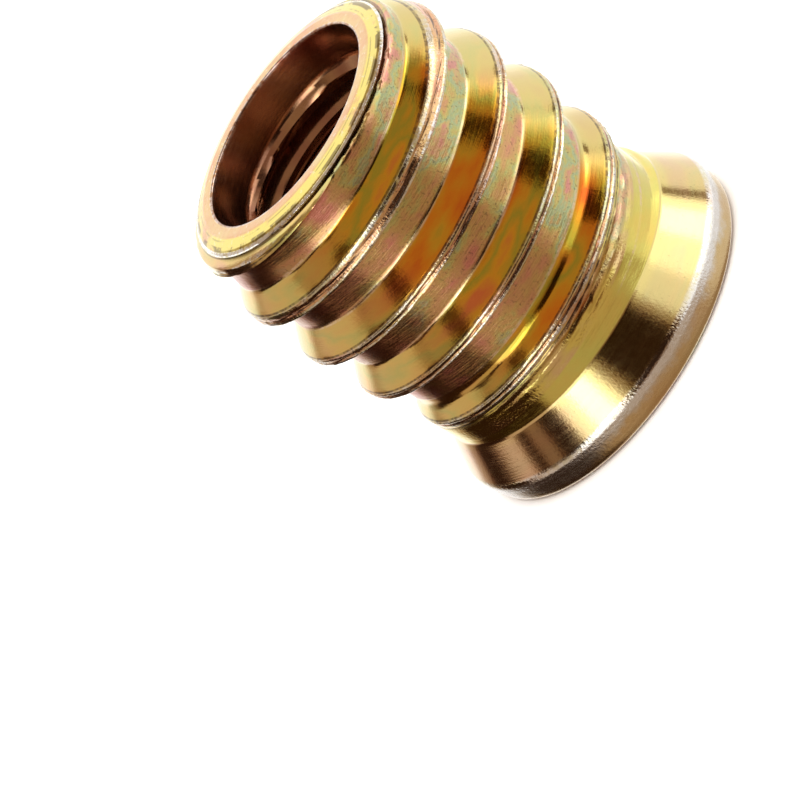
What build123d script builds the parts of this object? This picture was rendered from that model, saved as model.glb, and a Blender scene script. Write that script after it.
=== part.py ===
# Hex drive threaded insert for wood, made as one steel piece.
# The head face lies on Z = 0 and +Z runs along the axis to the tip. Millimetres.
import os
from math import ceil, cos, floor, pi, radians, sin, tan

from build123d import *

os.makedirs("parts", exist_ok=True)

# whole insert
total_length = 14.55

# head: a rim that narrows a little to the face, and a flare down to the neck
rim_radius = 6.75
rim_taper = 0.12
rim_height = 1.15
rim_edge_radius = 0.45
face_edge_radius = 0.4
flare_height = 1.55
flare_foot_radius = 0.3

# plain neck between the flare and the end of the outer thread
neck_radius = 5.87
neck_height = 1.15

# outer wood thread: right hand, one start, crest fading into the neck
crest_radius = 6.28
root_radius = 5.45
thread_lead = 2.5
crest_land = 0.28
lead_flank_angle = 48.0
trail_flank_angle = 17.0
first_crest_depth = 2.55
crest_fade_height = 3.4
groove_end_height = 1.05
groove_exit_turns = 0.5

# tip: flat ring, low collar, cone and taper up to the full thread
tip_ring_radius = 4.87
collar_height = 0.22
collar_step = 0.12
tip_cone_height = 0.22
tip_cone_growth = 0.43
tip_taper_height = 1.5
tip_taper_growth = 0.6
tip_nose_height = 2.6

# threaded bore, modelled at its tap drill size, and its mouth at the tip
bore_radius = 3.4
mouth_growth = 0.58
mouth_depth = 1.3

# hex key socket in the head face
hex_across_flats = 8.0
hex_depth = 3.0
hex_mouth_growth = 0.55
hex_mouth_depth = 0.35
lead_in_gap = 0.1
lead_in_depth = 0.5

# how far each cut runs past the surface it clears, and how far the groove's floor stays
# above the point where its flanks would meet
run_over = 1.0
tool_clearance = 0.1
floor_clearance = 0.05

# heights above the head face that follow from the values above
tip_z = total_length
neck_z = rim_height + flare_height
fade_z = neck_z + neck_height
full_crest_z = fade_z + crest_fade_height
collar_z = tip_z - collar_height
cone_z = collar_z - tip_cone_height
taper_z = cone_z - tip_taper_height
nose_z = taper_z - tip_nose_height

# radii that follow
step_radius = tip_ring_radius + collar_step
cone_radius = step_radius + tip_cone_growth
taper_radius = cone_radius + tip_taper_growth
hex_inradius = hex_across_flats / 2
lead_in_radius = hex_inradius - lead_in_gap

# turned blank, with the head's edges rounded
with BuildPart() as insert:
    with BuildSketch(Plane.XZ) as blank:
        with BuildLine():
            Polyline(
                (0, 0),
                (rim_radius - rim_taper, 0),
                (rim_radius, rim_height),
                (neck_radius, neck_z),
                (neck_radius, fade_z),
                (crest_radius, full_crest_z),
                (crest_radius, nose_z),
                (taper_radius, taper_z),
                (cone_radius, cone_z),
                (step_radius, collar_z),
                (tip_ring_radius, collar_z),
                (tip_ring_radius, tip_z),
                (0, tip_z),
                close=True,
            )
        make_face()
        face_corner = blank.vertices().sort_by_distance((rim_radius - rim_taper, 0, 0))[0]
        fillet(face_corner, face_edge_radius)
        rim_corner = blank.vertices().sort_by_distance((rim_radius, rim_height, 0))[0]
        fillet(rim_corner, rim_edge_radius)
        foot_corner = blank.vertices().sort_by_distance((neck_radius, neck_z, 0))[0]
        fillet(foot_corner, flare_foot_radius)
    revolve(axis=Axis.Z)

# helical groove between the thread crests. One unit of turn is one full turn, and the
# crest's head side edge crosses angle 0 at turn 0 on this height
crest_z = tip_z - first_crest_depth
first_turn = (neck_z + groove_end_height - crest_z) / thread_lead + 1
start_turn = floor(2 * (first_turn - groove_exit_turns)) / 2
end_turn = ceil(2 * (first_crest_depth / thread_lead + 1)) / 2
trail_slope = tan(radians(trail_flank_angle))
lead_slope = tan(radians(lead_flank_angle))

# the groove's floor is the root, unless a tall crest brings the flanks together before it
meeting_radius = crest_radius - (thread_lead - crest_land) / (lead_slope + trail_slope)
floor_radius = max(root_radius, meeting_radius + floor_clearance)
depth = crest_radius - floor_radius
exit_lift = neck_radius - floor_radius + 2 * tool_clearance


def lift(turn):
    # the groove's bottom rises along its last turn until it leaves the blank
    rise = max(0.0, start_turn + groove_exit_turns - turn) / groove_exit_turns
    return exit_lift * rise * rise


def on_path(turn):
    radius = crest_radius + lift(turn)
    angle = 2 * pi * turn
    return Vector(radius * cos(angle), radius * sin(angle), crest_z + thread_lead * turn)


def along_path(turn):
    # how far the path goes in half a turn at this pace
    return (on_path(turn + 0.0005) - on_path(turn - 0.0005)) * 500


tool_radius = crest_radius + tool_clearance
start_lift = lift(start_turn)
start_z = crest_z + thread_lead * start_turn
far_z = start_z - thread_lead + crest_land
start_angle = 2 * pi * start_turn
start_plane = Plane(
    origin=(0, 0, 0),
    x_dir=(cos(start_angle), sin(start_angle), 0),
    z_dir=(sin(start_angle), -cos(start_angle), 0),
)

# the path is kept as half turns, because short faces cut more reliably than long ones
half_turns = round(2 * (end_turn - start_turn))
stations = [start_turn + 0.5 * n for n in range(half_turns)]
shares = [n / 8 for n in range(9)]
path_edges = [
    Edge.make_spline(
        [on_path(turn + 0.5 * share) for share in shares],
        tangents=[along_path(turn), along_path(turn + 0.5)],
        parameters=shares,
        scale=False,
    )
    for turn in stations
]
groove_path = Wire(path_edges)
groove_axis = Edge.make_line((0, 0, start_z), (0, 0, crest_z + thread_lead * end_turn))

with BuildPart() as groove:
    with BuildSketch(start_plane):
        with BuildLine():
            Polyline(
                (floor_radius + start_lift, start_z - depth * trail_slope),
                (tool_radius + start_lift, start_z + tool_clearance * trail_slope),
                (tool_radius + start_lift, far_z - tool_clearance * lead_slope),
                (floor_radius + start_lift, far_z + depth * lead_slope),
                close=True,
            )
        make_face()
    sweep(path=groove_path, binormal=groove_axis)

with insert:
    add(groove.part, mode=Mode.SUBTRACT)
    # threaded bore right through, with its mouth at the tip and its lead-in at the hex
    with BuildSketch(Plane.XZ):
        with BuildLine():
            Polyline(
                (0, -run_over),
                (lead_in_radius, -run_over),
                (lead_in_radius, hex_depth),
                (bore_radius, hex_depth + lead_in_depth),
                (bore_radius, tip_z - mouth_depth),
                (bore_radius + mouth_growth, tip_z),
                (bore_radius + mouth_growth, tip_z + run_over),
                (0, tip_z + run_over),
                close=True,
            )
        make_face()
    revolve(axis=Axis.Z, mode=Mode.SUBTRACT)
    # hex socket with its turned mouth
    with BuildSketch(Plane.XY):
        RegularPolygon(radius=hex_inradius, side_count=6, major_radius=False)
    extrude(amount=hex_depth, mode=Mode.SUBTRACT)
    with BuildSketch(Plane.XZ):
        with BuildLine():
            Polyline(
                (0, 0),
                (hex_inradius + hex_mouth_growth, 0),
                (lead_in_radius, hex_mouth_depth),
                (0, hex_mouth_depth),
                close=True,
            )
        make_face()
    revolve(axis=Axis.Z, mode=Mode.SUBTRACT)

insert.part.label = "threaded_insert"
export_step(insert.part, "parts/threaded_insert.step")
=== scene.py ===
from math import ceil, cos, exp, floor, pi, radians, sin, sqrt, tan
from types import SimpleNamespace

import bmesh
import bpy
from mathutils import Matrix, Vector, noise


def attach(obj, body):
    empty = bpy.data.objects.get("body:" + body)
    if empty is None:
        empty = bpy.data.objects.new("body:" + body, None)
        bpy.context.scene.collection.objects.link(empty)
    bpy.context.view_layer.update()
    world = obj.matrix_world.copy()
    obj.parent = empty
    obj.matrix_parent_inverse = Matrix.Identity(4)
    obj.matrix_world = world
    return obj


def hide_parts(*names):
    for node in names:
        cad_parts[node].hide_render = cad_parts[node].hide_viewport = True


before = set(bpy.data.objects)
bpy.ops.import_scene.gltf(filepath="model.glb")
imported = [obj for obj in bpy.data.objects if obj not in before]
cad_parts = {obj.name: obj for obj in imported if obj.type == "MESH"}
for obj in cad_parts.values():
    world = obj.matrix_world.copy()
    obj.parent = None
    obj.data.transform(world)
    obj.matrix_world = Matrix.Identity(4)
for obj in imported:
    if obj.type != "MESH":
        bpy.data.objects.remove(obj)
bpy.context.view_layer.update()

# Sizes of the solid, in millimetres. The head's face lies on Z = 0 and the tip points up
MM = 0.001
LENGTH = 14.55

RIM_R = 6.75
FACE_R = RIM_R - 0.12
RIM_Z = 1.15
RIM_ROUNDING = 0.45
FACE_ROUNDING = 0.4
NECK_R = 5.87
NECK_Z = RIM_Z + 1.55
NECK_ROUNDING = 0.3

# the outer thread fades out of the neck, is full up to the nose and narrows to the collar
FADE_Z = NECK_Z + 1.15
FULL_CREST_Z = FADE_Z + 3.4
COLLAR_Z = LENGTH - 0.22
CONE_Z = COLLAR_Z - 0.22
TAPER_Z = CONE_Z - 1.5
NOSE_Z = TAPER_Z - 2.6
CREST_R = 6.28
ROOT_R = 5.45
TAPER_R = 6.02
CONE_R = 5.42
COLLAR_R = 4.99

# section of its groove. Turn 0 is where a crest's head side edge crosses +X at CREST_Z
CREST_Z = LENGTH - 2.55
LEAD = 2.5
LAND = 0.28
ROOT_WIDTH = 1.05
THREAD_DEPTH = CREST_R - ROOT_R
TRAIL_RUN = THREAD_DEPTH * tan(radians(17))
LEAD_RUN = LEAD - LAND - ROOT_WIDTH - TRAIL_RUN
LEAD_SLOPE = THREAD_DEPTH / LEAD_RUN
TRAIL_SLOPE = THREAD_DEPTH / TRAIL_RUN
GROOVE_START = -3.0
GROOVE_EXIT = 0.5
EXIT_LIFT = 0.62

# how far a worn crest lies below the blank, apart from its burrs
CREST_SETTLE = 0.02

# worn shape of the tip: a bevelled ring with a burred edge, and a deeper root under it
BEVEL_R = 4.40
BEVEL_END_R = 4.86
BEVEL_END_Z = 14.43
TIP_EDGE_R = 5.03
TIP_EDGE_Z = 14.34
TIP_ROOT_DROP = 0.17
TIP_ROOT_LOW = 12.3
TIP_ROOT_HIGH = 13.4
TIP_LAND_SHARE = 0.65

# M8 internal thread, its mouth at the tip, and the hex key socket
BORE_LEAD = 1.25
BORE_MINOR = 3.36
BORE_MAJOR = 3.95
MOUTH_R = 3.98
MOUTH_END_R = 3.8
HEX_R = 4.0
HEX_DEPTH = 3.0
HEX_MOUTH_R = 4.55
HEX_MOUTH_DEPTH = 0.35
LEAD_IN_R = 3.9

# the mesh: points round the axis, and the heights between which its rows follow a thread
COLUMNS = 228
THREAD_LOW = 2.98
THREAD_HIGH = 14.2
BORE_LOW = 3.12
BORE_HIGH = 13.05


# Shape helpers
def smooth_low(a, b, reach):
    """The lower of two numbers, blended where they are less than reach apart."""
    near = max(reach - abs(a - b), 0.0) / reach
    return min(a, b) - near * near * reach / 4


def smooth_high(a, b, reach):
    return -smooth_low(-a, -b, reach)


def step_up(low, high, x):
    """0 below low, 1 above high, eased between."""
    t = min(max((x - low) / (high - low), 0.0), 1.0)
    return t * t * (3 - 2 * t)


def along(points, x):
    """Height of a line of points at x."""
    for (x0, y0), (x1, y1) in zip(points, points[1:]):
        if x <= x1:
            return y0 + (y1 - y0) * (x - x0) / (x1 - x0)
    return points[-1][1]


def in_degrees(angle):
    """An angle round the axis in degrees, from -180 to 180."""
    return (angle * 180 / pi + 180) % 360 - 180


def wander(angle, z, grain, seed):
    """Smooth unevenness of a rolled surface, from -1 to 1, with no seam round the axis.

    A larger grain is finer, and each seed is a pattern of its own.
    """
    where = Vector((cos(angle) * grain, sin(angle) * grain, z * grain / 6))
    return noise.noise(where + Vector((seed * 7.3, seed * 3.1, seed * 5.7)))


# the turned blank that the groove is cut from, as heights and radii
BLANK = [
    (NECK_Z, NECK_R), (FADE_Z, NECK_R), (FULL_CREST_Z, CREST_R), (NOSE_Z, CREST_R),
    (TAPER_Z, TAPER_R), (CONE_Z, CONE_R), (COLLAR_Z, COLLAR_R),
]

# folds beside the last turn: distance below its edge, width, height, and the angles in
# degrees that it runs from and to
FOLD_REACH = 1.3
FOLDS = [
    (0.20, 0.07, 0.06, -70, 130), (0.37, 0.05, -0.085, -20, 44), (0.52, 0.07, 0.06, -50, 122),
    (0.86, 0.08, 0.04, -8, 136),
]


def blank_radius(z):
    return along(BLANK, z)


def fold(distance, width, height):
    """A rounded ridge, or a groove where the height is negative."""
    return height * exp(-((distance / width) ** 2))


def lift(turn):
    """How far the groove's floor has risen where it leaves the neck."""
    return EXIT_LIFT * (max(0.0, GROOVE_START + GROOVE_EXIT - turn) / GROOVE_EXIT) ** 2


def crest_wear(angle, p, land, turn):
    """Height of the beaded burrs along a crest's two edges, less the seam between them.

    p is the distance past the crest's head side edge, and land the crest's width.
    """
    beads = 0.5 + 0.5 * wander(angle, turn * 3, grain=34, seed=4)
    height = fold(p - 0.03, 0.045, 0.035 * beads)
    height += fold(p - land + 0.02, 0.05, 0.03 * (1 - beads))
    middle = land * (0.5 + 0.15 * wander(angle, turn * 3, grain=6, seed=5))
    open_seam = max(0.0, 0.35 + 0.9 * wander(angle, turn * 3, grain=4, seed=3))
    seam_width = 0.04 + 0.18 * max(0.0, land - 0.34)
    height -= fold(p - middle, seam_width, 0.05 * open_seam + 0.012)
    return height - CREST_SETTLE


def thread_folds(angle, z):
    """Folds of metal that the rolling pushed up beside the last turn."""
    degrees_round = in_degrees(angle)
    beside = CREST_Z + LEAD * (GROOVE_START + degrees_round / 360) - z
    if not 0 < beside < FOLD_REACH:
        return 0.0
    total = 0.0
    for place, width, height, first, last in FOLDS:
        share = step_up(first, first + 18, degrees_round)
        share *= 1 - step_up(last - 24, last, degrees_round)
        wave = 0.09 * wander(angle, place * 9, grain=4, seed=21)
        wave += 0.03 * wander(angle, place * 9, grain=14, seed=22)
        ragged = 0.65 + 0.9 * wander(angle, place * 9, grain=12, seed=23)
        total += share * fold(beside - place - wave, width, height * ragged)
    return total


def outer_radius(angle, z):
    """The rolled outer thread: a helical groove cut from the blank, with worn, folded crests.

    Each blend of two surfaces ends with the rounding between them.
    """
    turn = angle / (2 * pi)
    turns_up = (z - CREST_Z) / LEAD - turn
    p = (turns_up - floor(turns_up)) * LEAD
    # the turn of the groove above this point, which sets its crest and its floor
    above = turn + floor(turns_up) + 1
    blank = blank_radius(z)
    crest_here = blank_radius(CREST_Z + LEAD * (above - 1) + LAND / 2)
    # near the head the flank on the tip side follows its own, lower crest
    shy = (CREST_R - crest_here) if above < 0 else 0.0
    # towards the tip the land is wider, though less than the taper alone would make it
    taper = 0.0 if above < 0 else CREST_R - blank
    land = LAND + taper * TIP_LAND_SHARE / LEAD_SLOPE
    shy += taper * (1 - TIP_LAND_SHARE)
    flank = CREST_R - shy - (p - LAND) * LEAD_SLOPE
    root = ROOT_R + lift(above) - TIP_ROOT_DROP * step_up(TIP_ROOT_LOW, TIP_ROOT_HIGH, z)
    trail = CREST_R + lift(above) - (LEAD - p) * TRAIL_SLOPE
    groove = smooth_high(smooth_high(flank, root, 0.05), trail, 0.08)
    behind = CREST_R + lift(above - 1) + p * TRAIL_SLOPE
    r = smooth_low(smooth_low(blank, groove, 0.06), behind, 0.05)
    on_crest = step_up(-0.12, -0.03, r - blank) * step_up(FADE_Z - 0.2, FADE_Z + 0.8, z)
    on_crest *= 1 - step_up(13.9, 14.15, z)
    if on_crest > 0:
        near = p if p < LEAD / 2 + land / 2 else p - LEAD
        r += on_crest * crest_wear(angle, near, land, above)
        pitted = 0.014 * wander(angle, z, grain=26, seed=8)
        pitted += 0.012 * wander(angle, z, grain=60, seed=9)
        r += on_crest * pitted
    return r + thread_folds(angle, z) + 0.004 * wander(angle, z, grain=18, seed=2)


def bore_radius(angle, z):
    """The internal thread, with its turns running out in the mouth and at the hex socket."""
    turns_up = z / BORE_LEAD - angle / (2 * pi)
    ridge = abs(turns_up - floor(turns_up) - 0.5) * 2
    thread = BORE_MAJOR - (BORE_MAJOR - BORE_MINOR) * step_up(0.1, 0.86, ridge)
    low_cone = LEAD_IN_R - max(z - BORE_LOW, 0.0) * 1.15
    high_cone = MOUTH_END_R - max(BORE_HIGH - z, 0.0) * 0.9
    ends = step_up(BORE_LOW, BORE_LOW + 0.5, z) * (1 - step_up(BORE_HIGH - 0.5, BORE_HIGH, z))
    thread = BORE_MINOR + (thread - BORE_MINOR) * ends
    r = smooth_high(smooth_high(thread, low_cone, 0.05), high_cone, 0.08)
    return r + 0.006 * wander(angle, z, grain=30, seed=11)


def hex_radius(angle):
    """Distance from the axis to the hex socket's wall."""
    off_flat = angle % (pi / 3) - pi / 6
    return HEX_R / cos(off_flat)


def rounded(corners, pieces=5):
    """A turned profile of (radius, height, rounding) corners, as points."""
    points = []
    last = len(corners) - 1
    for n, (r, z, size) in enumerate(corners):
        if n in (0, last) or size == 0:
            points.append((r, z))
            continue
        here = Vector((r, z))
        back = Vector(corners[n - 1][:2]) - here
        ahead = Vector(corners[n + 1][:2]) - here
        half = back.angle(ahead) / 2
        reach = min(size / tan(half), back.length * 0.49, ahead.length * 0.49)
        start = here + back.normalized() * reach
        end = here + ahead.normalized() * reach
        for i in range(pieces + 1):
            t = i / pieces
            q = start * (1 - t) ** 2 + here * 2 * t * (1 - t) + end * t * t
            points.append((q.x, q.y))
    return points


def subdivided(points, longest):
    """The same line with no run longer than longest."""
    out = [points[0]]
    for a, b in zip(points, points[1:]):
        count = max(1, ceil(sqrt((a[0] - b[0]) ** 2 + (a[1] - b[1]) ** 2) / longest))
        for i in range(1, count + 1):
            t = i / count
            out.append((a[0] + (b[0] - a[0]) * t, a[1] + (b[1] - a[1]) * t))
    return out


# The insert's mesh
class Shell:
    """Rings of points round the axis, joined into one closed surface."""

    def __init__(self):
        self.points = []
        self.faces = []

    def ring(self, radius, height):
        """A new ring, whose radius and height are numbers or change with the angle."""
        first = len(self.points)
        for i in range(COLUMNS):
            angle = 2 * pi * i / COLUMNS
            r = radius(angle) if callable(radius) else radius
            z = height(angle) if callable(height) else height
            self.points.append((r * cos(angle) * MM, r * sin(angle) * MM, z * MM))
        return list(range(first, first + COLUMNS))

    def face(self, *corners):
        """A face through its corners, each used once, unless too few are left."""
        kept = []
        for c in corners:
            if c not in kept:
                kept.append(c)
        if len(kept) > 2:
            self.faces.append(kept)

    def join(self, a, b):
        for i in range(COLUMNS):
            j = (i + 1) % COLUMNS
            self.face(a[i], a[j], b[j], b[i])

    def lathe(self, start, points):
        """Rings through the points of a profile, from a ring that exists to the last one made."""
        for radius, height in points:
            made = self.ring(radius, height)
            self.join(start, made)
            start = made
        return start

    def helix(self, low, high, low_z, high_z, lead, rows, start_z, radius, snap=0.02):
        """Rows that follow a thread between two rings. The last column of a turn meets the
    first column of the next, and rows that pass a ring end on its points.
    """
        per_turn = len(rows)
        first = floor((low_z - start_z) / lead) - 2
        last = ceil((high_z - start_z) / lead) + 1
        count = (last - first) * per_turn
        point = {}
        for i in range(COLUMNS):
            angle = 2 * pi * i / COLUMNS
            for row in range(count):
                turn = first + row // per_turn
                z = start_z + lead * (turn + i / COLUMNS) + rows[row % per_turn]
                if z <= low_z + snap:
                    point[row, i] = low[i]
                elif z >= high_z - snap:
                    point[row, i] = high[i]
                else:
                    r = radius(angle, z)
                    point[row, i] = len(self.points)
                    self.points.append((r * cos(angle) * MM, r * sin(angle) * MM, z * MM))
        for row in range(count - 1):
            for i in range(COLUMNS):
                # past the last column a row goes on as the row one turn higher
                j, up = (i + 1, row) if i < COLUMNS - 1 else (0, row + per_turn)
                if up + 1 < count:
                    self.face(point[row, i], point[up, j], point[up + 1, j], point[row + 1, i])


# rows of the mesh between one turn of a thread and the next, closest where the section bends
THREAD_ROWS = [
    0, 0.025, 0.05, 0.08, 0.11, 0.14, 0.17, 0.2, 0.23, 0.26, 0.285, 0.32, 0.37, 0.44, 0.53, 0.63,
    0.74, 0.85, 0.96, 1.05, 1.12, 1.165, 1.195, 1.23, 1.29, 1.37, 1.46, 1.55, 1.65, 1.75, 1.85,
    1.95, 2.05, 2.13, 2.19, 2.235, 2.27, 2.31, 2.36, 2.41, 2.45, 2.48,
]
BORE_ROWS = [BORE_LEAD * n / 12 for n in range(12)]


def crest_share(angle):
    """1 where the first crest has grown out of the tip, 0 where the tip's edge stands alone."""
    around = in_degrees(angle)
    return (1 - step_up(-60, -25, around)) * step_up(-180, -150, around)


def under_edge(radius, growth):
    """A ring under the tip's edge, which is wider where the first crest has begun."""
    return lambda angle: radius + growth * crest_share(angle)


def tip_points():
    """The mouth's wall, the tip's flat ring and its bevel, up to the burred edge."""
    corners = [
        (MOUTH_END_R, BORE_HIGH, 0), (MOUTH_R, LENGTH, 0.07), (BEVEL_R, LENGTH, 0.25),
        (BEVEL_END_R, BEVEL_END_Z, 0.2), (TIP_EDGE_R, TIP_EDGE_Z, 0.03),
    ]
    return subdivided(rounded(corners)[:-1], 0.2)


def burr_rings():
    """The tip's edge is a beaded burr with a recess under it."""
    return [
        (lambda a: TIP_EDGE_R - 0.02 + 0.012 * wander(a, 0, grain=40, seed=31), TIP_EDGE_Z + 0.01),
        (lambda a: TIP_EDGE_R + 0.012 * wander(a, 1, grain=46, seed=32), TIP_EDGE_Z - 0.02),
        (under_edge(TIP_EDGE_R - 0.045, 0.11), TIP_EDGE_Z - 0.035),
        (under_edge(4.90, 0.20), THREAD_HIGH + 0.07),
        (under_edge(4.93, 0.23), THREAD_HIGH + 0.03),
    ]


def head_points():
    """The neck's foot, the flare, the rim and the face, in to the socket's mouth."""
    corners = [
        (NECK_R, THREAD_LOW, 0), (NECK_R, NECK_Z, NECK_ROUNDING), (RIM_R, RIM_Z, RIM_ROUNDING),
        (FACE_R, 0, FACE_ROUNDING), (4.75, 0, 0),
    ]
    return subdivided(rounded(corners, 9), 0.22)


def socket_rings():
    """The turned mouth of the hex socket, its six walls and its floor."""
    edge = 0.04

    def mouth_r(angle):
        return max(HEX_MOUTH_R, hex_radius(angle) + edge)

    def mouth_z(angle):
        share = (HEX_MOUTH_R - hex_radius(angle)) / (HEX_MOUTH_R - LEAD_IN_R)
        return max(edge, share * HEX_MOUTH_DEPTH)

    mouth = [
        (lambda a: mouth_r(a) + edge, 0), (mouth_r, edge * 0.35),
        (lambda a: hex_radius(a) + 0.012, lambda a: mouth_z(a) * 0.96),
        (hex_radius, lambda a: mouth_z(a) + 0.03),
    ]
    walls = [(hex_radius, z) for z in (0.5, 1.0, 1.5, 2.0, 2.5, 2.85, 2.97)]
    bottom = [
        (lambda a: hex_radius(a) - 0.03, HEX_DEPTH),
        (lambda a: 0.5 * (hex_radius(a) + LEAD_IN_R), HEX_DEPTH + 0.01),
        (LEAD_IN_R + 0.03, HEX_DEPTH + 0.01), (LEAD_IN_R, HEX_DEPTH + 0.05),
    ]
    return mouth + walls + bottom


def build_insert():
    """One closed shell, from the bore's mouth over the tip, down the outside and up the bore."""
    shell = Shell()
    bore_top = shell.ring(lambda a: bore_radius(a, BORE_HIGH), BORE_HIGH)
    tip = shell.lathe(bore_top, tip_points()[1:])
    tip_foot = shell.lathe(tip, burr_rings())
    thread_top = shell.ring(lambda a: outer_radius(a, THREAD_HIGH), THREAD_HIGH)
    shell.join(tip_foot, thread_top)
    thread_foot = shell.ring(lambda a: outer_radius(a, THREAD_LOW), THREAD_LOW)
    shell.helix(
        thread_foot, thread_top, THREAD_LOW, THREAD_HIGH, LEAD, THREAD_ROWS, CREST_Z, outer_radius,
    )
    face = shell.lathe(thread_foot, head_points()[1:])
    socket = shell.lathe(face, socket_rings())
    bore_foot = shell.ring(lambda a: bore_radius(a, BORE_LOW), BORE_LOW)
    shell.join(socket, bore_foot)
    shell.helix(
        bore_foot, bore_top, BORE_LOW, BORE_HIGH, BORE_LEAD, BORE_ROWS, 0.0, bore_radius,
    )
    mesh = bpy.data.meshes.new("insert")
    mesh.from_pydata(shell.points, [], shell.faces)
    mesh.validate()
    work = bmesh.new()
    work.from_mesh(mesh)
    bmesh.ops.recalc_face_normals(work, faces=work.faces)
    work.to_mesh(mesh)
    work.free()
    mesh.shade_smooth()
    mesh.set_sharp_from_angle(angle=radians(38))
    piece = bpy.data.objects.new("insert", mesh)
    bpy.context.scene.collection.objects.link(piece)
    return piece


# Finishes
class Value:
    """A number, colour or vector that changes over a surface."""

    def __init__(self, finish, socket):
        self.finish = finish
        self.socket = socket

    def _math(self, operation, *terms):
        return self.finish.node("ShaderNodeMath", {"operation": operation}, terms)

    def __add__(self, other):
        return self._math("ADD", self, other)

    __radd__ = __add__

    def __sub__(self, other):
        return self._math("SUBTRACT", self, other)

    def __rsub__(self, other):
        return self._math("SUBTRACT", other, self)

    def __mul__(self, other):
        return self._math("MULTIPLY", self, other)

    __rmul__ = __mul__

    def __truediv__(self, other):
        return self._math("DIVIDE", self, other)

    def __rtruediv__(self, other):
        return self._math("DIVIDE", other, self)

    def call(self, operation, *others):
        return self._math(operation, self, *others)

    def clamp(self, low, high):
        return self.call("MAXIMUM", low).call("MINIMUM", high)


class Finish:
    """The node tree of one surface finish."""

    def __init__(self, name, world=False):
        self.owner = bpy.data.worlds.new(name) if world else bpy.data.materials.new(name)
        self.owner.use_nodes = True
        self.tree = self.owner.node_tree
        self.tree.nodes.clear()

    def node(self, kind, settings=None, inputs=(), out=0):
        """A new node of any kind: its settings first, then its sockets. Gives one output."""
        made = self.tree.nodes.new(kind)
        for key, setting in (settings or {}).items():
            if key == "stops":
                ramp = made.color_ramp
                while len(ramp.elements) < len(setting):
                    ramp.elements.new(0.5)
                for element, (place, colour) in zip(ramp.elements, setting):
                    element.position = place
                    element.color = (*colour, 1)
            else:
                setattr(made, key, setting)
        pairs = inputs.items() if isinstance(inputs, dict) else enumerate(inputs)
        for key, value in pairs:
            if isinstance(value, Value):
                self.tree.links.new(value.socket, made.inputs[key])
            else:
                made.inputs[key].default_value = value
        return Value(self, made.outputs[out]) if made.outputs else None

    def blend(self, share, a, b):
        """Colour a where the share is 0, colour b where it is 1."""
        a = (*a, 1) if isinstance(a, tuple) else a
        b = (*b, 1) if isinstance(b, tuple) else b
        return self.node("ShaderNodeMix", {"data_type": "RGBA"}, {0: share, 6: a, 7: b}, 2)

    def span(self, value, low, high):
        """0 below low, 1 above high, eased between."""
        settings = {"interpolation_type": "SMOOTHSTEP"}
        return self.node("ShaderNodeMapRange", settings, {0: value, 1: low, 2: high})

    def band(self, value, low, high, soft):
        """1 between low and high, eased to 0 over soft on both sides."""
        return self.span(value, low - soft, low) * (1 - self.span(value, high, high + soft))

    def ramp(self, value, stops):
        return self.node("ShaderNodeValToRGB", {"stops": stops}, [value])

    def place(self, x, y, z):
        return self.node("ShaderNodeCombineXYZ", None, [x, y, z])

    def cloud(self, where, scale, detail=3.0, rough=0.5, contrast=1.0):
        """A noise about 0.5, stretched by the contrast."""
        inputs = {"Vector": where, "Scale": scale, "Detail": detail, "Roughness": rough}
        made = self.node("ShaderNodeTexNoise", None, inputs)
        return made if contrast == 1.0 else (made - 0.5) * contrast + 0.5


# Colours of bare metal, of dirt and of the zinc's film, and of painted light: a painted highlight
# on the flank-root corner, painted shade in recesses and in the bore, and painted reflection and
# shade that make one side lighter or darker. A film is a ramp or a pair to blend
SILVER = (0.82, 0.79, 0.76)
# a painted highlight: the thin pinkish line on the corner between flank and root
CORNER_HIGHLIGHT = (0.80, 0.58, 0.40)
# dark pits and specks, and painted shade in the recesses
GRIME_AND_SHADE = (0.09, 0.05, 0.035)
WARM_FILM = [
    (0.05, (0.60, 0.32, 0.17)), (0.28, (0.66, 0.46, 0.16)), (0.46, (0.62, 0.50, 0.15)),
    (0.60, (0.52, 0.50, 0.17)), (0.76, (0.66, 0.48, 0.17)), (0.95, (0.64, 0.36, 0.24)),
]
ROOT_FILM = [
    (0.05, (0.66, 0.26, 0.19)), (0.25, (0.64, 0.34, 0.17)), (0.44, (0.62, 0.40, 0.15)),
    (0.58, (0.54, 0.48, 0.17)), (0.68, (0.42, 0.48, 0.26)), (0.80, (0.60, 0.44, 0.18)),
    (0.96, (0.68, 0.30, 0.24)),
]
FLANK_FILM = [
    (0.08, (0.66, 0.12, 0.02)), (0.28, (0.74, 0.25, 0.02)), (0.46, (0.68, 0.36, 0.03)),
    (0.60, (0.44, 0.36, 0.04)), (0.74, (0.74, 0.36, 0.03)), (0.92, (0.72, 0.20, 0.06)),
]
FACE_FILM = [
    (0.10, (0.68, 0.46, 0.22)), (0.30, (0.62, 0.36, 0.32)), (0.55, (0.64, 0.38, 0.37)),
    (0.72, (0.50, 0.50, 0.24)), (0.90, (0.70, 0.48, 0.24)),
]
# painted shade: darker brown roots towards -Y
ROOT_LOW_SIDE_SHADE = (0.46, 0.20, 0.11)
STREAK_BROWN = (0.50, 0.25, 0.13)
# painted reflection: paler yellow flanks towards +Y and towards -Y
FLANK_HIGH_SIDE_REFLECTION = (0.62, 0.54, 0.22)
FLANK_LOW_SIDE_REFLECTION = (0.66, 0.56, 0.23)
NECK_FILM = (0.84, 0.60, 0.14), (0.70, 0.70, 0.16)
CREST_FILM = (0.72, 0.34, 0.22), (0.72, 0.50, 0.20)
TIP_FILM = (0.62, 0.26, 0.17), (0.66, 0.52, 0.22)
BEVEL_YELLOW = (0.74, 0.60, 0.17)
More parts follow.
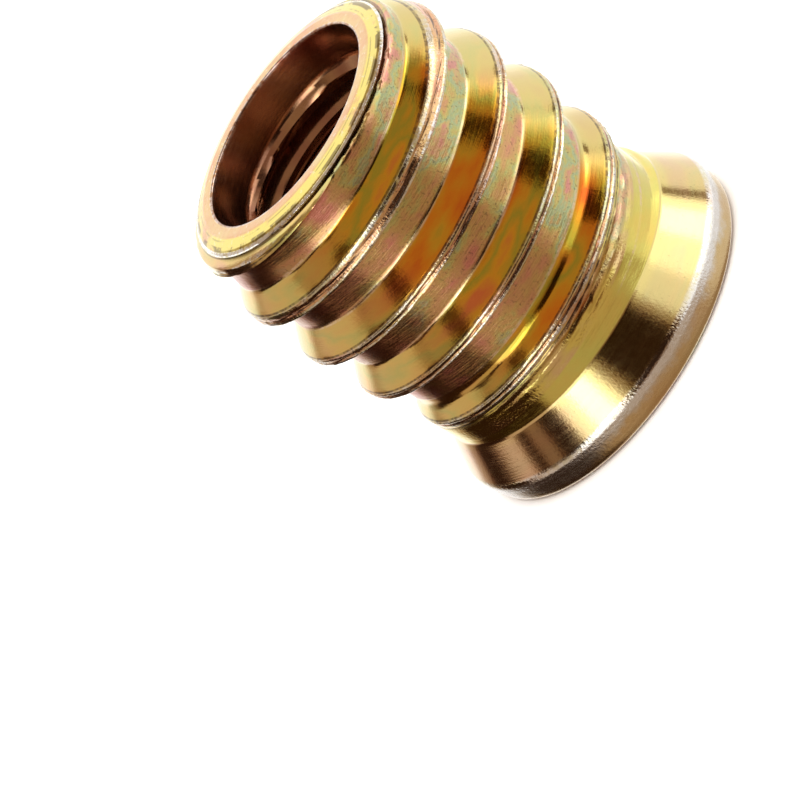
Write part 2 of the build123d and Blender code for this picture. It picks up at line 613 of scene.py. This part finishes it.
# the flare's film, and a pinker painted highlight tint for the side towards -Y
FLARE_FILM_AND_HIGHLIGHT = (0.68, 0.52, 0.23), (0.72, 0.46, 0.30)
FOLD_PINK = (0.74, 0.42, 0.28)
# the bore's film, darkened as painted shade
BORE_FILM_AND_SHADE = (0.29, 0.115, 0.075), (0.42, 0.24, 0.12)
RIM_FILM = (0.60, 0.38, 0.18), (0.68, 0.52, 0.30)
RIM_SILVER = (0.72, 0.69, 0.66)


def zinc_places(f):
    """Where a point of the surface lies, in millimetres, and the clouds of its finish there."""
    point = f.node("ShaderNodeTexCoord", out=3)
    x, y, z = [f.node("ShaderNodeSeparateXYZ", None, [point], n) * (1 / MM) for n in range(3)]
    r = (x * x + y * y).call("SQRT")
    turn = y.call("ARCTAN2", x) / (2 * pi)
    # distance past the head side edge of the nearest crest, along the axis
    early = 0.04
    p = ((z - CREST_Z) / LEAD - turn + early).call("FRACT") * LEAD - early * LEAD
    # the crest's land, which the nose and the taper widen
    nose_slope = (CREST_R - TAPER_R) / (TAPER_Z - NOSE_Z)
    taper_slope = (TAPER_R - CONE_R) / (CONE_Z - TAPER_Z)
    lost = (z - NOSE_Z).clamp(0.0, TAPER_Z - NOSE_Z) * nose_slope
    lost = lost + (z - TAPER_Z).clamp(0.0, CONE_Z - TAPER_Z) * taper_slope
    land = lost * (TIP_LAND_SHARE / LEAD_SLOPE) + LAND

    # clouds that run round the axis, as long patches and fine drawn lines, and spots that
    # don't. After its place a cloud has its scale, detail, roughness and contrast
    side_x, side_y = x / r, y / r
    long_place = f.place(side_x * 1.5, side_y * 1.5, z * 0.5 - r * 0.6)
    line_place = f.place(side_x * 2.5, side_y * 2.5, (z - r) * 9.0)
    spot_place = f.place(x, y, z)
    return SimpleNamespace(
        z=z, r=r, p=p, land=land, side_y=side_y,
        # 1 on the side towards -Y
        low_side=1 - f.span(side_y, -0.85, -0.25),
        drift=f.cloud(long_place, 0.9, 2.0, 0.5, 2.4),
        patches=f.cloud(long_place, 1.5, 4.0, 0.6, 2.5),
        lines=f.cloud(line_place, 1.6, 2.0, 0.65, 1.6),
        grit=f.cloud(spot_place, 10.0, 1.0, 0.6, 1.8),
        speck=f.cloud(spot_place, 4.6, 3.0, 0.7, 2.0),
        spots=f.cloud(spot_place, 1.3, 4.0, 0.6, 2.2),
    )


def zinc_zones(f, at):
    """The insert's surfaces, each 1 on itself and 0 elsewhere.

    Places are in millimetres: heights z, radii r, and distances p past a crest's edge.
    """
    z, r, p = at.z, at.r, at.p
    past_land = p - at.land
    on_thread = f.band(z, 3.6, 14.12, 0.1)
    outside = f.span(r, 4.8, 4.9)
    on_crest = on_thread * f.span(r, 5.5, 5.7)
    crest = f.band(p, -0.04, at.land + 0.02, 0.03) * on_crest
    first_edge = f.band(p, -0.03, 0.07, 0.03) * on_thread * f.span(r, 5.25, 5.35)
    second_edge = f.band(past_land, -0.08, 0.03, 0.03) * on_crest
    # the root starts a little later under the tip, where it is deeper
    foot = p - f.span(z, TIP_ROOT_LOW, TIP_ROOT_HIGH) * 0.1
    flank = f.span(past_land, 0.03, 0.05) * (1 - f.span(foot, 1.08, 1.16)) * on_thread * outside
    root = f.span(foot, 1.16, 1.18) * (1 - f.span(p, 2.24, 2.26)) * outside
    under_crest = f.band(p, 2.36, 2.47, 0.03) + f.band(past_land, 0.05, 0.09, 0.02)
    inside = 1 - f.span(r, 4.02, 4.08)
    return SimpleNamespace(
        crest=crest, first_edge=first_edge, second_edge=second_edge, flank=flank, inside=inside,
        between=crest * (1 - first_edge) * (1 - second_edge),
        seam=f.band(p - at.land * 0.5, -0.035, 0.035, 0.03) * crest,
        corner=f.band(foot, 1.13, 1.2, 0.035) * f.band(z, 3.4, 14.0, 0.2) * outside,
        root=root * f.band(z, 4.3, 14.1, 0.4),
        trail=f.band(p, 2.26, 2.42, 0.02) * f.band(z, 3.2, 14.1, 0.2) * outside,
        under_crest=under_crest * on_thread * outside,
        folds=f.band(p, 1.55, 2.3, 0.1) * f.band(z, 3.1, 4.5, 0.2) * outside,
        neck=f.band(z, 2.6, 4.0, 0.25) * outside,
        flare=f.band(z, 1.35, 2.72, 0.1) * outside,
        rim_line=f.band(z, 0.86, 1.24, 0.14) * f.span(r, 6.6, 6.68),
        rim=f.band(z, 0.1, 1.05, 0.15) * f.span(r, 6.4, 6.5),
        head_face=(1 - f.span(z, 0.02, 0.1)) * f.span(r, 4.0, 4.2),
        tip_face=f.span(z, 14.42, 14.5) * (1 - inside),
        bevel=f.span(z, 14.34, 14.37) * f.span(r, 4.44, 4.52),
        tip_edge=f.band(r, 4.96, 5.07, 0.03) * f.band(z, 14.27, 14.385, 0.02),
        tip_recess=f.band(z, 14.2, 14.285, 0.02) * f.band(r, 4.88, 5.12, 0.03),
        bevel_lines=f.band(r, 4.56, 4.60, 0.02) * 0.5 + f.band(r, 4.80, 4.92, 0.05),
        mouth_edge=f.band(r, 3.93, 4.06, 0.03) * f.span(z, 14.4, 14.47),
    )


def film_colour(f, at, on):
    """Colour of the passivated film with painted light in it: greener towards +Y and redder and
    darker towards -Y as painted reflection and shade, paler flanks towards both sides as painted
    reflection, a pinker flare and a silver rim towards -Y as painted highlights, and a dark bore
    as painted shade.
    """
    flank = f.ramp(at.drift * 0.7 + at.patches * 0.3, FLANK_FILM)
    # painted reflection: the flanks are paler yellow towards +Y and towards -Y
    flank = f.blend(f.span(at.side_y, 0.68, 0.92) * 0.8, flank, FLANK_HIGH_SIDE_REFLECTION)
    flank = f.blend(at.low_side * 0.55, flank, FLANK_LOW_SIDE_REFLECTION)
    # painted reflection and shade: the root's colour moves with side_y, paler green towards +Y and
    # pinker towards -Y, and turns darker brown towards -Y in patches
    root = f.ramp(at.patches + at.side_y * 0.28, ROOT_FILM)
    root = f.blend(at.low_side * f.span(at.drift, 0.0, 0.6) * 0.7, root, ROOT_LOW_SIDE_SHADE)
    streaks = f.span(at.lines * 0.5 + at.patches * 0.5, 0.5, 0.85)
    root = f.blend(streaks * 0.5, root, STREAK_BROWN)
    tip = f.blend(at.spots * 0.6 + at.patches * 0.4, *TIP_FILM)
    tip = f.blend(on.bevel * f.span(at.patches, 0.1, 0.5), tip, BEVEL_YELLOW)
    # the rim turns silver towards its upper edge and in spots, which is wear, and towards -Y,
    # which is a painted highlight
    rim_wear_and_highlight = f.span(at.z + at.spots * 0.5 + at.low_side * 0.5, 0.75, 1.25)
    rim = f.blend(rim_wear_and_highlight, f.blend(at.patches, *RIM_FILM), RIM_SILVER)
    layers = [
        (on.neck * 0.8, f.blend(at.patches, *NECK_FILM)),
        (on.root, root),
        (on.flank, flank),
        (on.between, f.blend(at.patches, *CREST_FILM)),
        (on.head_face, f.ramp(at.patches * 0.6 + at.spots * 0.4, FACE_FILM)),
        (on.tip_face.call("MAXIMUM", on.bevel) * 0.85, tip),
        # the flare is pinker towards -Y, a painted highlight tint
        (on.flare * 0.7, f.blend(at.low_side, *FLARE_FILM_AND_HIGHLIGHT)),
        (on.folds * 0.6 * f.span(at.patches, 0.3, 0.8), FOLD_PINK),
        # the bore's film, darkened as painted shade inside the bore
        (on.inside, f.blend(at.patches, *BORE_FILM_AND_SHADE)),
        (on.rim * 0.8, rim),
    ]
    colour = f.blend(0.22, f.ramp(at.drift, WARM_FILM), root)
    for share, film in layers:
        colour = f.blend(share, colour, film)
    return colour


def wear_grime_and_painted_light(f, at, on, colour):
    """Bare silver worn on the edges and a painted highlight on the flank-root corner, then dark
    marks: pits and specks on the matt bands and edges, dark lines in the seams and folds, and
    painted shade under the crests, in the tip's recess and along the bevel's grooves.
    """
    beads = f.span(at.speck, 0.30, 0.62)
    long_wear = f.span(at.patches, 0.25, 0.7)
    wide = f.span(at.land, 0.32, 0.45)
    worn = on.first_edge * (0.25 + 0.7 * beads) * (0.55 + 0.45 * long_wear)
    worn = worn + on.second_edge * (0.3 + 0.7 * beads) * (0.15 + 0.15 * wide + 0.5 * long_wear)
    worn = worn + on.between * f.span(at.speck, 0.62, 0.85) * 0.4
    worn = worn + on.rim_line * (0.55 + 0.3 * beads) * (0.6 + 0.4 * long_wear)
    worn = worn + on.tip_face * f.span(at.speck, 0.66, 0.9) * 0.3
    worn = worn + on.tip_edge * (0.4 + 0.6 * beads) + on.mouth_edge * 0.35 * beads
    worn = worn + on.head_face * f.span(at.spots, 0.72, 0.8) * 0.6
    colour = f.blend(worn.call("MINIMUM", 1.0), colour, SILVER)
    # a painted highlight: a thin pinkish line along the corner between flank and root
    colour = f.blend(on.corner * (0.10 + 0.55 * beads * long_wear), colour, CORNER_HIGHLIGHT)

    edges = on.first_edge + on.second_edge
    matt_bands = on.root * 0.4 + on.between * 0.7 + on.head_face * 0.25
    grime_and_shade = on.seam * f.span(at.lines, 0.42, 0.7) * 0.85
    grime_and_shade = grime_and_shade + f.span(at.grit, 0.66, 0.92) * matt_bands
    grime_and_shade = grime_and_shade + edges * f.span(at.speck, 0.62, 0.86) * 0.65
    grime_and_shade = grime_and_shade + on.flare * f.span(at.grit, 0.86, 1.0) * 0.35
    # painted shade: dark just under each crest's edges
    grime_and_shade = grime_and_shade + on.under_crest * (0.35 + 0.4 * beads)
    # painted shade: a dark line in the recess under the tip's edge
    grime_and_shade = grime_and_shade + on.tip_recess * 0.6 + on.folds * f.span(at.lines, 0.7, 0.9) * 0.3
    # painted shade: a dark groove line and a dark band on the tip's bevel
    grime_and_shade = grime_and_shade + on.bevel_lines * on.bevel * f.span(at.spots, 0.35, 0.6) * 0.7
    return f.blend(grime_and_shade.call("MINIMUM", 0.92), colour, GRIME_AND_SHADE)


def zinc_finish():
    """Yellow passivated zinc: drifting colour, drawn streaks and worn silver edges."""
    f = Finish("yellow_zinc")
    at = zinc_places(f)
    on = zinc_zones(f, at)
    colour = wear_grime_and_painted_light(f, at, on, film_colour(f, at, on))

    rough = 0.14 + on.root * 0.09 + on.crest * 0.08 + on.head_face * 0.16 + on.rim * 0.12
    rough = rough + on.trail * 0.1 + on.inside * 0.06
    rough = rough + (at.lines - 0.5) * 0.08 + (at.speck - 0.5) * 0.06

    matt = on.root * 0.2 + on.crest * 0.9 + on.head_face * 0.4 + on.rim * 0.5
    matt = matt + on.rim_line * 0.8 + on.tip_edge + on.tip_face * 0.6 + on.folds * 0.6
    height = at.lines * (0.14 + on.root * 0.2) + at.grit * (0.10 + matt * 0.5)
    height = height + at.speck * matt * 0.35
    bump = f.node("ShaderNodeBump", None, {
        "Strength": 0.35, "Distance": 0.03 * MM, "Height": height,
    })
    shader = f.node("ShaderNodeBsdfPrincipled", None, {
        "Base Color": colour, "Metallic": 1.0, "Roughness": rough.clamp(0.08, 0.6),
        "Normal": bump,
    })
    f.node("ShaderNodeOutputMaterial", None, {"Surface": shader})
    return f.owner


def floor_finish():
    f = Finish("pale_floor")
    place = f.node("ShaderNodeTexCoord", out=3)
    tone = f.blend(f.cloud(place, 30.0), (0.93, 0.93, 0.93), (0.95, 0.95, 0.95))
    shader = f.node("ShaderNodeBsdfPrincipled", None, {"Base Color": tone, "Roughness": 0.9})
    f.node("ShaderNodeOutputMaterial", None, {"Surface": shader})
    return f.owner


insert = build_insert()
insert.data.materials.append(zinc_finish())
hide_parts("threaded_insert")
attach(insert, "root")


# Floor, light and camera
def build_floor():
    reach, sides = 3.0, 96
    angles = [2 * pi * i / sides for i in range(sides)]
    points = [(reach * cos(angle), reach * sin(angle), 0) for angle in angles]
    mesh = bpy.data.meshes.new("floor")
    mesh.from_pydata(points, [], [list(range(sides))])
    mesh.materials.append(floor_finish())
    made = bpy.data.objects.new("floor", mesh)
    bpy.context.scene.collection.objects.link(made)
    made.visible_glossy = False


build_floor()


# soft boxes and dark cards round the metal, in degrees: azimuth from and to, height from and
# to, width of the soft edge, and brightness. A later one covers an earlier one
ALL_ROUND = 400
ROOM_LEVEL = 0.5
CARDS = [
    (-ALL_ROUND, ALL_ROUND, -100, -38, 12, 0.42),
    (-ALL_ROUND, ALL_ROUND, -36, -24, 8, 0.56),
    (62, 178, -40, -22, 8, 0.95),
    (-138, -70, -60, 29, 8, 0.03),
    (-144, -106, 10, 30, 6, 0.75),
    (-104, -64, -16, 8, 7, 0.6),
    (-91, -84, 8, 24, 4, 0.3),
    (36, 168, -18, 33, 8, 1.25),
    (60, 106, -2, 27, 8, 2.0),
    (84, 98, 9, 22, 5, 3.6),
    (111, 116, 0, 22, 2, 0.25),
    (-62, -31, -12, 40, 5, 1.9),
    (-50, -38, 18, 36, 5, 4.2),
    (64, 88, 41, 50, 3, 0.03),
    (-80, -66, 44, 52, 3, 0.08),
    (-17, 22, -16, -2, 8, 0.25),
    (-17, 21, 2, 40, 8, 0.03),
]
BEHIND_LEVEL = 1.45
WHITE = (1.0, 1.0, 1.0)
DIM_TINT = (1.0, 0.74, 0.52)
DARK_TINT = (1.0, 0.42, 0.20)


def studio():
    """A white room to the camera, and soft boxes and dark cards in the metal's reflections."""
    f = Finish("studio", world=True)
    way = f.node("ShaderNodeTexCoord", out=0)
    dx, dy, dz = [f.node("ShaderNodeSeparateXYZ", None, [way], n) for n in range(3)]
    azimuth = dy.call("ARCTAN2", dx) * (180 / pi)
    height = dz.call("ARCSINE") * (180 / pi)
    light = ROOM_LEVEL
    for left, right, low, high, soft, level in CARDS:
        share = f.band(azimuth, left, right, soft) * f.band(height, low, high, soft)
        light = light + share * (level - light)
    # the wall opposite the camera, which lies on both sides of azimuth 180
    behind = f.span(azimuth.call("ABSOLUTE"), 146, 158) * f.band(height, -66, 74, 8)
    light = light + behind * (BEHIND_LEVEL - light)
    # dim light is warmer
    tint = f.blend(f.span(light, 0.35, 1.1), DIM_TINT, WHITE)
    tint = f.blend(f.span(light, 0.04, 0.4), DARK_TINT, tint)
    to_camera = f.node("ShaderNodeLightPath", out=0)
    sky = f.node("ShaderNodeBackground", None, {
        "Color": f.blend(to_camera, tint, WHITE), "Strength": light + to_camera * (1.0 - light),
    })
    f.node("ShaderNodeOutputWorld", None, {"Surface": sky})
    return f.owner


def floor_light():
    """A wide soft box above, which the floor shows and the metal doesn't mirror."""
    lamp = bpy.data.lights.new("floor_light", "AREA")
    lamp.shape = "DISK"
    lamp.size = 1.2
    lamp.energy = 11
    made = bpy.data.objects.new("floor_light", lamp)
    made.location = (0, 0, 0.8)
    made.visible_glossy = False
    made.visible_camera = False
    bpy.context.scene.collection.objects.link(made)


floor_light()
bpy.context.scene.world = studio()
bpy.context.scene.view_settings.view_transform = "Standard"


# the camera looks down on the insert from +X, rolled as the photograph is. Its place is its
# distance from the point that it aims at
CAMERA_HEIGHT_ANGLE = 23.9753
CAMERA_ROLL = -57.6780
CAMERA_DISTANCE = 243.700
AIM = (-2.0151, -5.8047, 4.5307)
FOCAL_LENGTH_PIXELS = 7000
IMAGE_PIXELS = 800
SENSOR_MM = 36


def build_camera():
    data = bpy.data.cameras.new("camera")
    data.sensor_width = SENSOR_MM
    data.lens = FOCAL_LENGTH_PIXELS / IMAGE_PIXELS * SENSOR_MM
    data.clip_start = 0.01
    data.clip_end = 10
    made = bpy.data.objects.new("camera", data)
    bpy.context.scene.collection.objects.link(made)
    # upright it would stand on +X and look along -X
    upright = Matrix.Rotation(radians(90), 4, "Z") @ Matrix.Rotation(radians(90), 4, "X")
    tipped = Matrix.Rotation(radians(-CAMERA_HEIGHT_ANGLE), 4, "Y") @ upright
    turned = tipped @ Matrix.Rotation(radians(CAMERA_ROLL), 4, "Z")
    back = turned.to_3x3() @ Vector((0, 0, CAMERA_DISTANCE))
    made.matrix_world = Matrix.Translation((Vector(AIM) + back) * MM) @ turned
    return made


bpy.context.scene.camera = build_camera()
